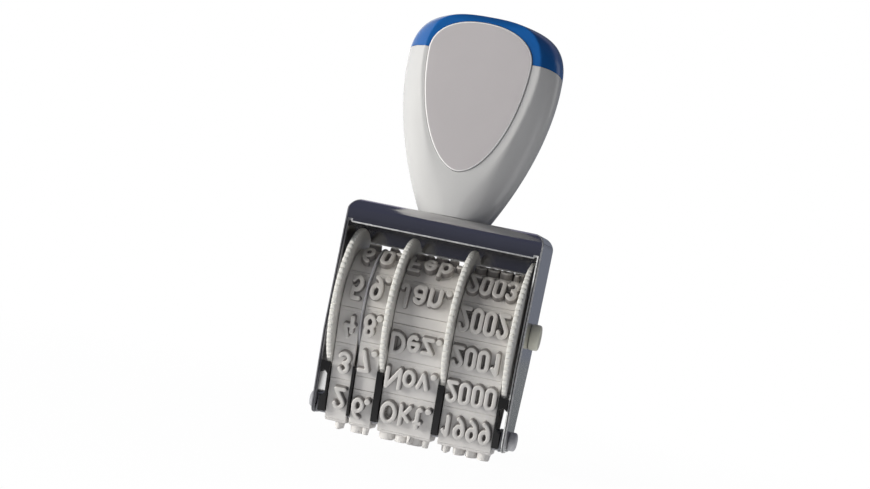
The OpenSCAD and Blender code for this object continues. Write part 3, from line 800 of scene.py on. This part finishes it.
bowl = ring(0.5, X_MID, 0.5, X_MID)
small_a = [joined(line((1, 0)), line((1, 0.48)), arc(0.52, 0.49, 0.48, 0.24, 0, 155)),
           joined(line((1, 0.42)), arc(0.42, 0.21, 0.42, 0.21, 90, 270),
                  line((0.72, 0.0), (1, 0.14)))]
six = [ring(0.5, 0.3, 0.5, 0.3), arc(0.85, 0.34, 0.85, 0.66, 180, 100)]
GLYPHS = {
    "0": [joined(arc(0.5, 0.79, 0.5, 0.21, 0, 180), arc(0.5, 0.21, 0.5, 0.21, 180, 360),
                 line((1, 0.79)))],
    "1": [line((0.1, 0.76), (0.6, 1), (0.6, 0))],
    "2": [joined(arc(0.5, 0.75, 0.5, 0.25, 172, -28), line((0.0, 0.0), (1, 0)))],
    "3": [joined(arc(0.48, 0.76, 0.46, 0.24, 160, -80), arc(0.46, 0.26, 0.54, 0.26, 85, -160))],
    "4": [line((0.3, 1), (0, 0.42), (1, 0.42)), line((0.78, 0.76), (0.78, 0))],
    "5": [joined(line((0.94, 1), (0.12, 1), (0.06, 0.52)),
                 arc(0.46, 0.31, 0.54, 0.31, 125, -155))],
    "6": six,
    "7": [line((0, 1), (1, 1), (0.34, 0))],
    "8": [ring(0.5, 0.77, 0.42, 0.23), ring(0.5, 0.27, 0.5, 0.27)],
    "9": [1 - part for part in six],
    ".": [ring(0.5, 0.03, 0.5, 0.055, 10)],
    "J": [joined(line((0.85, 1), (0.85, 0.22)), arc(0.42, 0.22, 0.43, 0.22, 0, -165))],
    "F": [line((1, 1), (0, 1), (0, 0)), line((0, 0.53), (0.82, 0.53))],
    "M": [line((0, 0), (0, 1), (0.5, 0.3), (1, 1), (1, 0))],
    "A": [line((0, 0), (0.5, 1), (1, 0)), line((0.2, 0.34), (0.8, 0.34))],
    "S": [joined(arc(0.5, 0.75, 0.46, 0.25, 25, 262), arc(0.5, 0.25, 0.5, 0.25, 82, -155))],
    "O": [ring(0.5, 0.5, 0.5, 0.5, 36)],
    "N": [line((0, 0), (0, 1), (1, 0), (1, 1))],
    "D": [joined(line((0, 0), (0, 1), (0.3, 1)), arc(0.3, 0.5, 0.7, 0.5, 90, -90, 24),
                 line((0, 0)))],
    "a": small_a,
    "ä": small_a + [ring(x, 0.97, 0.07, 0.03, 8) for x in (0.24, 0.8)],
    "b": [line((0, 1), (0, 0)), bowl],
    "e": [joined(line((0.04, X_MID)), arc(0.5, X_MID, 0.5, X_MID, 0, 305, 28))],
    "g": [bowl, joined(line((1, X_TALL), (1, -0.1)), arc(0.5, -0.1, 0.5, 0.18, 0, -150))],
    "i": [line((0.5, 0), (0.5, X_TALL)), ring(0.5, 1.0, 0.5, 0.03, 8)],
    "k": [line((0, 0), (0, 1)), line((0.92, X_TALL), (0.04, 0.3)), line((0.34, 0.44), (1, 0))],
    "l": [line((0.5, 0), (0.5, 1))],
    "n": [line((0, 0), (0, X_TALL)),
          joined(arc(0.5, 0.45, 0.5, 0.28, 180, 0), line((1, 0)))],
    "o": [bowl],
    "p": [line((0, X_TALL), (0, -0.27)), bowl],
    "r": [line((0, 0), (0, X_TALL)), arc(0.62, 0.42, 0.62, 0.31, 180, 60)],
    "t": [joined(line((0.38, 0.98), (0.38, 0.2)), arc(0.76, 0.2, 0.38, 0.2, 180, 300)),
          line((0, X_TALL), (0.95, X_TALL))],
    "u": [joined(line((0, X_TALL)), arc(0.5, 0.27, 0.5, 0.27, 180, 360)),
          line((1, X_TALL), (1, 0))],
    "v": [line((0, X_TALL), (0.5, 0), (1, X_TALL))],
    "z": [line((0, X_TALL), (1, X_TALL), (0, 0), (1, 0))],
}
# Widths of the letters in millimetres; digits have theirs from their band.
GLYPH_W = {"J": 1.0, "F": 1.3, "M": 2.0, "A": 1.9, "S": 1.6, "O": 2.0, "N": 1.95, "D": 1.75,
           "a": 1.45, "ä": 1.45, "b": 1.45, "e": 1.45, "g": 1.45, "i": 0.12, "k": 1.4, "l": 0.12,
           "n": 1.45, "o": 1.45, "p": 1.45, "r": 0.9, "t": 0.85, "u": 1.45, "v": 1.4, "z": 1.4,
           ".": 0.33}
print("characters cut:", len(GLYPHS))

# %% [markdown]
# ## The band's path
# A band runs flat under the nose, round a tight corner, up a slanting run and
# over the drum; the back half is the mirror of the front. Points are counted by
# the length along this path, because the cells of type are spaced by length. A
# curve object with a bevel could follow the path, but the type stands on it, so
# the path is kept as a formula that takes any length and any height.

# %% Band path
RELIEF, BAND_T, LOOP_R, NOSE_R, NOSE_Y = 1.1, 0.9, 8.0, 1.0, 1.9
PITCH, CELLS = 5.6, 12
NOSE_Z = RELIEF + NOSE_R
CENTRE_D = np.hypot(NOSE_Y, AXLE_Z - NOSE_Z)
SLANT = np.arcsin((LOOP_R - NOSE_R) / CENTRE_D) - np.arctan2(NOSE_Y, AXLE_Z - NOSE_Z)
S_CORNER = NOSE_Y
S_RUN = S_CORNER + NOSE_R * (np.pi / 2 - SLANT)
S_DRUM = S_RUN + np.sqrt(CENTRE_D ** 2 - (LOOP_R - NOSE_R) ** 2)
LOOP = 2 * (S_DRUM + LOOP_R * (np.pi / 2 + SLANT))
SPLICE = LOOP - CELLS * PITCH


def band_point(s, out):
    """Depth and height at path length s, moved out by out. The outward
    direction turns with the path; corner and drum add their radius along it."""
    s = s % LOOP
    t = np.minimum(s, LOOP - s)
    turn = np.where(t < S_DRUM, np.clip((t - S_CORNER) / NOSE_R, 0, np.pi / 2 - SLANT),
                    np.pi / 2 - SLANT + (t - S_DRUM) / LOOP_R)
    run = np.clip(t, S_RUN, S_DRUM) - S_RUN
    nose_y = -np.minimum(t, S_CORNER) - (NOSE_R + out) * np.sin(turn) - run * np.sin(SLANT)
    nose_z = NOSE_Z - (NOSE_R + out) * np.cos(turn) + run * np.cos(SLANT)
    on_drum = t >= S_DRUM
    y = np.where(on_drum, -(LOOP_R + out) * np.sin(turn), nose_y)
    z = np.where(on_drum, AXLE_Z - (LOOP_R + out) * np.cos(turn), nose_z)
    return np.where(s > LOOP / 2, -y, y), z


print("band length: %.2f mm, splice %.2f mm" % (LOOP, SPLICE))

# %% [markdown]
# ## The type bands
# A real band is moulded in one piece with its type. Text objects could be bent
# along the path, but bent text meshes tear and overlap the band. Here the outer
# face is one grid, and each point asks how far it is from the nearest stroke:
# close points lift to the type height, far ones stay on the floor, and those
# near the top or the foot of a wall are moved onto it, so that the walls are
# clean. The characters are a mirror of the printed ones, so from the front they
# look turned over top to bottom.

# %% Words of each band
STROKE_TALL, STROKE_HALF, FOOT_HALF = 3.0, 0.31, 0.41
SIDE_ROOM, WIDEST_GAP, TINY = 0.5, 0.42, 1e-9
# For each band: its words, the last row before the splice, how far the rows behind it
# stand back towards it, digit width, step to the right, lag after the printing row,
# and pitch of the rows. Steps, lags and pitch follow the rows in the photograph.
BANDS = {
    "day_tens_band": (list("1234567890"), CELLS, 0, 1.3, 0.35, 0.85, 5.8),
    "day_units_band": ([d + "." for d in "5678901234"], 1, 0, 1.33, 0, 0, PITCH),
    "month_band": (["Sep.", "Okt.", "Nov.", "Dez.", "Jan.", "Feb.", "Mär.", "Apr.", "Mai", "Jun.",
                    "Jul.", "Aug."], 3, 0.7, 1.3, 0, 0.5, PITCH),
    "year_band": ([str(y) for y in range(1998, 2010)], CELLS, 0, 1.22, 0, 0.4, PITCH),
}


def word_strokes(word, width, digit_w, move):
    """Segments (start, end) of a word set across a band of this width, move off
    its centre, with even gaps between the characters."""
    wide = np.array([GLYPH_W.get(c, digit_w) for c in word])
    room = width - SIDE_ROOM - wide.sum() - 2 * STROKE_HALF * len(word)
    gap = min(room / max(len(word) - 1, 1), WIDEST_GAP)
    total = wide.sum() + 2 * STROKE_HALF * len(word) + gap * (len(word) - 1)
    left = (width - total) / 2 + STROKE_HALF + move
    segments = []
    for character, w in zip(word, wide):
        for stroke in GLYPHS[character]:
            p = stroke * [w, STROKE_TALL] + [left, -STROKE_TALL / 2]
            segments.append(np.stack([p[:-1], p[1:]], 1))
        left += w + 2 * STROKE_HALF + gap
    return np.concatenate(segments)


def nearest_stroke(p, segments):
    """Distance from each point to the nearest segment, and the unit direction
    away from it."""
    a, ab = segments[:, 0], segments[:, 1] - segments[:, 0]
    t = np.einsum("psk,sk->ps", p[:, None] - a, ab) / ((ab ** 2).sum(1) + TINY)
    v = p[:, None] - a - np.clip(t, 0, 1)[..., None] * ab
    d = np.linalg.norm(v, axis=2)
    rows, best = np.arange(len(p)), d.argmin(1)
    return d[rows, best], v[rows, best] / (d[rows, best] + TINY)[:, None]


print("rows of type:", sum(len(row[0]) for row in BANDS.values()))

# %% Grid of a band
GRID, BAND_EDGE, INNER_EDGE, CELL_MORE = 0.08, 0.07, 0.08, 0.2
# Mould lines: half width, room beside them, the second line's distance, and depths.
LINE_HALF, LINE_STEP, SECOND_LINE = 0.04, 0.07, 0.55
CELL_GROOVE, FINE_GROOVE, SPLICE_GROOVE = 0.1, 0.06, 0.16
# Type: reach of the moves onto a wall in grid steps, broken edge of the face, and floor.
SNAP, FACE_DROP, FACE_EDGE, FLOOR_LIFT = 0.36, 0.1, 0.14, 0.02
# Painted shade in the closed counters: its most, and the distance from the strokes over which it
# fades.
COUNTER_SHADE_MOST, COUNTER_SHADE_REACH = 1.2, 0.6


def along_loop(s):
    """Path length brought to between minus and plus half the loop."""
    return (s + LOOP / 2) % LOOP - LOOP / 2


def line_gap(stations, lines):
    """Distance along the path from each station to the nearest line."""
    return np.abs(along_loop(stations[:, None] - lines[None])).min(1)


def band_stations(lines):
    """Even path lengths, with three of them moved onto each mould line."""
    s = np.arange(int(LOOP / GRID)) * LOOP / int(LOOP / GRID)
    k = np.round(lines / s[1]).astype(int)
    for shift in (-1, 0, 1):
        s[(k + shift) % len(s)] = (lines + shift * LINE_STEP) % LOOP
    return s


def closed_counters(stroke):
    """Floor points of a word's grid that the strokes cut off from its edge: the
    edge's floor grows over all the floor it can reach, and the rest is closed."""
    reached = ~stroke
    reached[1:-1, 1:-1] = False
    while True:
        grown = reached.copy()
        grown[1:] |= reached[:-1]
        grown[:-1] |= reached[1:]
        grown[:, 1:] |= reached[:, :-1]
        grown[:, :-1] |= reached[:, 1:]
        grown &= ~stroke
        if (grown == reached).all():
            return ~(reached | stroke)
        reached = grown


def band_mesh(low_x, width, words, splice_after, near, digit_w, move, lag, pitch):
    """Closed grid of a band: along the path, and once round its section. Rows of
    type stand pitch apart. lag is extra room after the printing row, near is how
    far the rows behind the splice stand back towards it, and move is the words'
    step to the right."""
    cell = np.arange(CELLS)
    centre = (cell * pitch + np.where(cell > splice_after, SPLICE - near, 0)
              + np.where(cell > 0, lag, 0))
    lines = (centre + PITCH / 2) % LOOP
    joint = (lines[min(splice_after, CELLS - 1)] + np.array([0, SPLICE - lag])) % LOOP
    fine = np.concatenate([lines, lines - SECOND_LINE])
    stations = np.sort(band_stations(np.concatenate([fine, joint])))
    columns = np.linspace(BAND_EDGE, width - BAND_EDGE, int(width / GRID))
    s, x = np.meshgrid(stations, columns, indexing="ij")
    lift, counter_shade_share = np.zeros_like(s), np.zeros_like(s)
    for number, word in enumerate(words):
        up = along_loop(centre[number] - s)
        rows = np.abs(up[:, 0]) < PITCH / 2 + CELL_MORE
        p = np.stack([x[rows], up[rows]], -1).reshape(-1, 2)
        d, way = nearest_stroke(p, word_strokes(word, width, digit_w, move))
        for edge in (STROKE_HALF, FOOT_HALF):
            close = np.abs(d - edge) < SNAP * GRID
            p = p + np.where(close, edge - d, 0)[:, None] * way
            d = np.where(close, edge, d)
        d, across, upward = (v.reshape(-1, len(columns)) for v in (d, p[:, 0], p[:, 1]))
        x[rows, 1:-1] = np.clip(across, INNER_EDGE, width - INNER_EDGE)[:, 1:-1]
        s[rows] = (centre[number] - upward) % LOOP
        wall = np.clip((FOOT_HALF - d) / (FOOT_HALF - STROKE_HALF), 0, 1)
        edge_drop = FACE_DROP * np.clip(1 - (STROKE_HALF - d) / FACE_EDGE, 0, 1) ** 2
        lift[rows] = np.maximum(lift[rows], (RELIEF - edge_drop) * wall)
        # Floor points in closed counters get painted shade, strongest near the strokes.
        narrow = np.clip(COUNTER_SHADE_MOST - (d - FOOT_HALF) / COUNTER_SHADE_REACH, 0, 1)
        inside = closed_counters(d < FOOT_HALF + NO_ZERO)
        counter_shade_share[rows] = np.maximum(counter_shade_share[rows], inside * narrow)
    groove = sum(deep * (line_gap(stations, at) < LINE_HALF) for at, deep in (
        (lines, CELL_GROOVE), (fine, FINE_GROOVE), (joint, SPLICE_GROOVE)))
    lift = np.where(lift > FLOOR_LIFT, lift, -groove[:, None])
    rim = np.array([(width, -BAND_EDGE), (width, BAND_EDGE - BAND_T),
                    (width - BAND_EDGE, -BAND_T), (BAND_EDGE, -BAND_T),
                    (0, BAND_EDGE - BAND_T), (0, -BAND_EDGE)])
    rest = np.broadcast_to(stations[:, None], (len(stations), len(rim)))
    s = np.concatenate([s, rest], 1)
    x = np.concatenate([x, np.broadcast_to(rim[:, 0], rest.shape)], 1)
    out = np.concatenate([lift, np.broadcast_to(rim[:, 1], rest.shape)], 1)
    y, z = band_point(s, out)
    points = np.stack([low_x + x, y, z], -1).reshape(-1, 3)
    mesh = array_mesh(points, grid_faces(*s.shape, True, True))
    height = np.clip(lift / RELIEF, 0, 1)
    # Stored per point: type height, and painted shade in the closed counters.
    for label, values in (("type_height", height), ("painted_counter_shade", counter_shade_share)):
        values = np.concatenate([values, np.zeros_like(rest)], 1).astype(np.float32)
        mesh.attributes.new(label, "FLOAT", "POINT").data.foreach_set("value", values.ravel())
    return mesh


print("points along a band: about", int(LOOP / GRID))

# %% Bands
for node, row in BANDS.items():
    low, high = box_mm(node)
    mesh = band_mesh(low[0], high[0] - low[0], *row)
    add_piece("dated_" + node, mesh, type_rubber, "stand", node, crease=48)

# %% [markdown]
# ## Comb block and the nodes that stay as they are
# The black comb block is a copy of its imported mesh. Daylight shows through the
# slots beside the outer bands, so the copy is opened behind its two front lips.
# A boolean cut suits that, because the pockets are plain boxes. The axle, the handle
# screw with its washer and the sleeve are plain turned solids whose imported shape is
# right. They only get their finishes.

# %% Comb block
POCKET_FRONT, POCKET_BACK, POCKET_FLOOR, POCKET_TOP = -3.5, 9, 5.0, 16
POCKET_SIDE, POCKET_REACH = 16, 0.6
BOX_CORNERS = np.stack(np.meshgrid([0, 1], [0, 1], [0, 1], indexing="ij"), -1).reshape(-1, 3)
BOX_FACES = np.array([[0, 1, 3, 2], [4, 6, 7, 5], [0, 4, 5, 1], [2, 3, 7, 6], [0, 2, 6, 4],
                      [1, 5, 7, 3]])


def opened_copy(node, boxes):
    """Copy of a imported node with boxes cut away, each given by two corners."""
    whole = add_object("whole", sheet_copy(node))
    used = [whole]
    for low, high in np.array(boxes):
        cutter = add_object("cutter", array_mesh(low + BOX_CORNERS * (high - low), BOX_FACES))
        cut = whole.modifiers.new("cut", "BOOLEAN")
        cut.operation, cut.solver, cut.object = "DIFFERENCE", "EXACT", cutter
        used.append(cutter)
    view = bpy.context.evaluated_depsgraph_get()
    mesh = bpy.data.meshes.new_from_object(whole.evaluated_get(view))
    mesh.materials.clear()
    for helper in used:
        bpy.data.objects.remove(helper)
    return mesh


tens_low, year_high = box_mm("day_tens_band")[0][0], box_mm("year_band")[1][0]
block = opened_copy("nose_block", [
    ((-POCKET_SIDE, POCKET_FRONT, POCKET_FLOOR),
     (tens_low + POCKET_REACH, POCKET_BACK, POCKET_TOP)),
    ((year_high - POCKET_REACH, POCKET_FRONT, POCKET_FLOOR),
     (POCKET_SIDE, POCKET_BACK, POCKET_TOP))])
add_piece("comb_block", block, black_nylon, "stand", "nose_block")

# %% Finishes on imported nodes
FINISH_ONLY = {"wheel_axle": zinc_steel, "handle_screw": zinc_steel, "screw_washer": zinc_steel,
               "thread_insert": turned_brass}
for node, material in FINISH_ONLY.items():
    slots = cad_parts[node].data.materials
    slots.clear()
    slots.append(material)
print("nodes with a finish only:", len(FINISH_ONLY))

# %% [markdown]
# ## Floor and backdrop
# The photograph has a white surround, and the undersides are as bright as the
# rest. So the stamp stands on a light table: a white board that glows softly
# upward, and looks white to the camera but for a soft shadow near the stamp. The
# world does the same for what lies beyond it. Bright metal shows what stands around
# it, so glowing cards, mostly dark and some pale, stand round the stamp, where only
# reflections see them: painted reflections, placed as a photographer would place
# cards to give the sheet its deep tone.

# %% Floor
FLOOR, TABLE = 4000, 0.29
SHADOW_FROM, SHADOW_TO, SHADOW = 30, 160, 0.97


def seen_rays(tree):
    """Share of a ray that shows the surround: 1 for a ray of the camera, of a
    reflection or through glass, 0 for one that only carries light."""
    rays = add_node(tree, "ShaderNodeLightPath").outputs
    seen = rays["Is Camera Ray"]
    for other in ("Is Glossy Ray", "Is Transmission Ray"):
        seen = add_node(tree, "ShaderNodeMath", {"operation": "MAXIMUM"},
                        {0: seen, 1: rays[other]}).outputs["Value"]
    return seen


def quad_sheet(name, corners, material):
    """One flat face through four millimetre points; part of the studio."""
    mesh = bpy.data.meshes.new(name)
    mesh.from_pydata((np.array(corners) * MM).tolist(), [], [(0, 1, 2, 3)])
    mesh.materials.append(material)
    card = add_object(name, mesh)
    card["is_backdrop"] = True
    return card


def floor_finish():
    """Light table: it glows at TABLE for light that it sends out, and looks white
    to the camera, less a shadow that fades out with the distance."""
    material, tree = new_material("white_board")
    place = add_node(tree, "ShaderNodeTexCoord")
    away = add_node(tree, "ShaderNodeVectorMath", {"operation": "LENGTH"},
                    {0: place.outputs["Object"]})
    fade = add_node(tree, "ShaderNodeMapRange",
                    {"From Min": SHADOW_FROM * MM, "From Max": SHADOW_TO * MM,
                     "To Min": SHADOW}, {"Value": away.outputs["Value"]})
    share = add_node(tree, "ShaderNodeMath", {"operation": "MULTIPLY"},
                     {0: seen_rays(tree), 1: fade.outputs["Result"]})
    matt = add_node(tree, "ShaderNodeBsdfDiffuse", {"Color": paint("#e8e8e8")})
    glow = add_node(tree, "ShaderNodeEmission", {"Color": paint("#f6f8ff"), "Strength": TABLE})
    board = add_node(tree, "ShaderNodeAddShader", {},
                     {0: matt.outputs["BSDF"], 1: glow.outputs["Emission"]})
    white = add_node(tree, "ShaderNodeEmission", {"Color": (1, 1, 1, 1), "Strength": 1.0})
    both = add_node(tree, "ShaderNodeMixShader", {},
                    {0: share.outputs["Value"], 1: board.outputs["Shader"],
                     2: white.outputs["Emission"]})
    add_node(tree, "ShaderNodeOutputMaterial", {}, {"Surface": both.outputs["Shader"]})
    return material


quad_sheet("floor_board", [(-FLOOR, -FLOOR, 0), (FLOOR, -FLOOR, 0), (FLOOR, FLOOR, 0),
                           (-FLOOR, FLOOR, 0)], floor_finish())
print("floor: %d mm square" % (2 * FLOOR))

# %% Cards that only reflections see
def card_finish(name, colour):
    """Evenly glowing card."""
    material, tree = new_material(name)
    glow = add_node(tree, "ShaderNodeEmission", {"Color": paint(colour), "Strength": 1.0})
    add_node(tree, "ShaderNodeOutputMaterial", {}, {"Surface": glow.outputs["Emission"]})
    return material


def only_reflected(card):
    """Hide a card from everything but reflections."""
    card.visible_camera = card.visible_diffuse = card.visible_shadow = False
    card.visible_transmission = card.visible_volume_scatter = False


def wall(x0, y0, x1, y1, top, low=0.6):
    """Corners of an upright card over a line on the floor."""
    return [(x0, y0, low), (x1, y1, low), (x1, y1, top), (x0, y0, top)]


def level(x0, y0, x1, y1, z):
    """Corners of a level card."""
    return [(x0, y0, z), (x1, y0, z), (x1, y1, z), (x0, y1, z)]


# Corners of each card in millimetres, and its glow.
CARDS = {
    "front_card": (wall(-700, -420, 700, -420, 420, 39), "#4b4d5c"),
    "front_low_card": (wall(-700, -420, 700, -420, 39), "#323237"),
    "front_floor_card": (level(-700, -420, 700, -16, 0.5), "#32323a"),
    "right_card": (wall(640, -420, 640, 270, 420), "#2c2c38"),
    "back_card": (wall(-60, 500, 640, 500, 420), "#737782"),
    "back_floor_card": ([(14, 20, 0.5), (640, 20, 0.5), (640, 505, 0.5), (40, 505, 0.5)],
                        "#74777a"),
    "left_card": (wall(-640, -60, -380, 520, 420), "#d2d5dc"),
    "top_card": (level(-700, -420, 700, 300, 420), "#4a4c5e"),
    "top_back_card": (level(-700, 300, 700, 520, 420), "#a5a1bb"),
}
for name, (corners, colour) in CARDS.items():
    only_reflected(quad_sheet(name, corners, card_finish(name, colour)))
print("cards:", len(CARDS))

# %% World
SKY = 0.12
world = bpy.data.worlds.new("studio")
bpy.context.scene.world = world
world.use_nodes = True
tree = world.node_tree
tree.nodes.clear()
soft = add_node(tree, "ShaderNodeBackground", {"Color": paint("#f2f5fb"), "Strength": SKY})
white = add_node(tree, "ShaderNodeBackground", {"Color": (1, 1, 1, 1), "Strength": 1.0})
both = add_node(tree, "ShaderNodeMixShader", {},
                {0: seen_rays(tree), 1: soft.outputs["Background"],
                 2: white.outputs["Background"]})
add_node(tree, "ShaderNodeOutputWorld", {}, {"Surface": both.outputs["Shader"]})
print("world:", world.name)

# %% [markdown]
# ## Lamps
# The light comes softly from low on the left and a little from the front, so the
# right side is dimmer. One broad lamp does most of it, a weak one low in front
# opens the shadows, and a third lights the back. All are kept out of reflections:
# the photograph shows no lamp in the bright sheet, only pale and dark walls.

# %% Lamps
MIDDLE = np.array([0.0, 0.0, 33.0])


def soft_lamp(name, place, size, power, colour):
    """Square lamp at a place in millimetres that faces the stamp's middle."""
    data = bpy.data.lights.new(name, "AREA")
    data.size, data.energy, data.color = size * MM, power, paint(colour)[:3]
    lamp = add_object(name, data)
    back = place - MIDDLE
    back /= np.linalg.norm(back)
    right = np.cross([0, 0, 1], back)
    right /= np.linalg.norm(right)
    lamp.matrix_world = axes_matrix(right, np.cross(back, right), back, place)
    lamp.visible_glossy = False


LAMPS = {"key_lamp": ((-440, -260, 110), 300, 3.2, "#fffefb"),
         "fill_lamp": ((40, -460, 40), 200, 0.16, "#f4f7ff"),
         "back_lamp": ((-220, 520, 260), 300, 1.5, "#ffffff")}
for name, row in LAMPS.items():
    soft_lamp(name, *row)
bpy.context.scene.view_settings.view_transform = "Standard"
print("lamps:", len(LAMPS))

# %% Sizes and finish
low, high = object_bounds()
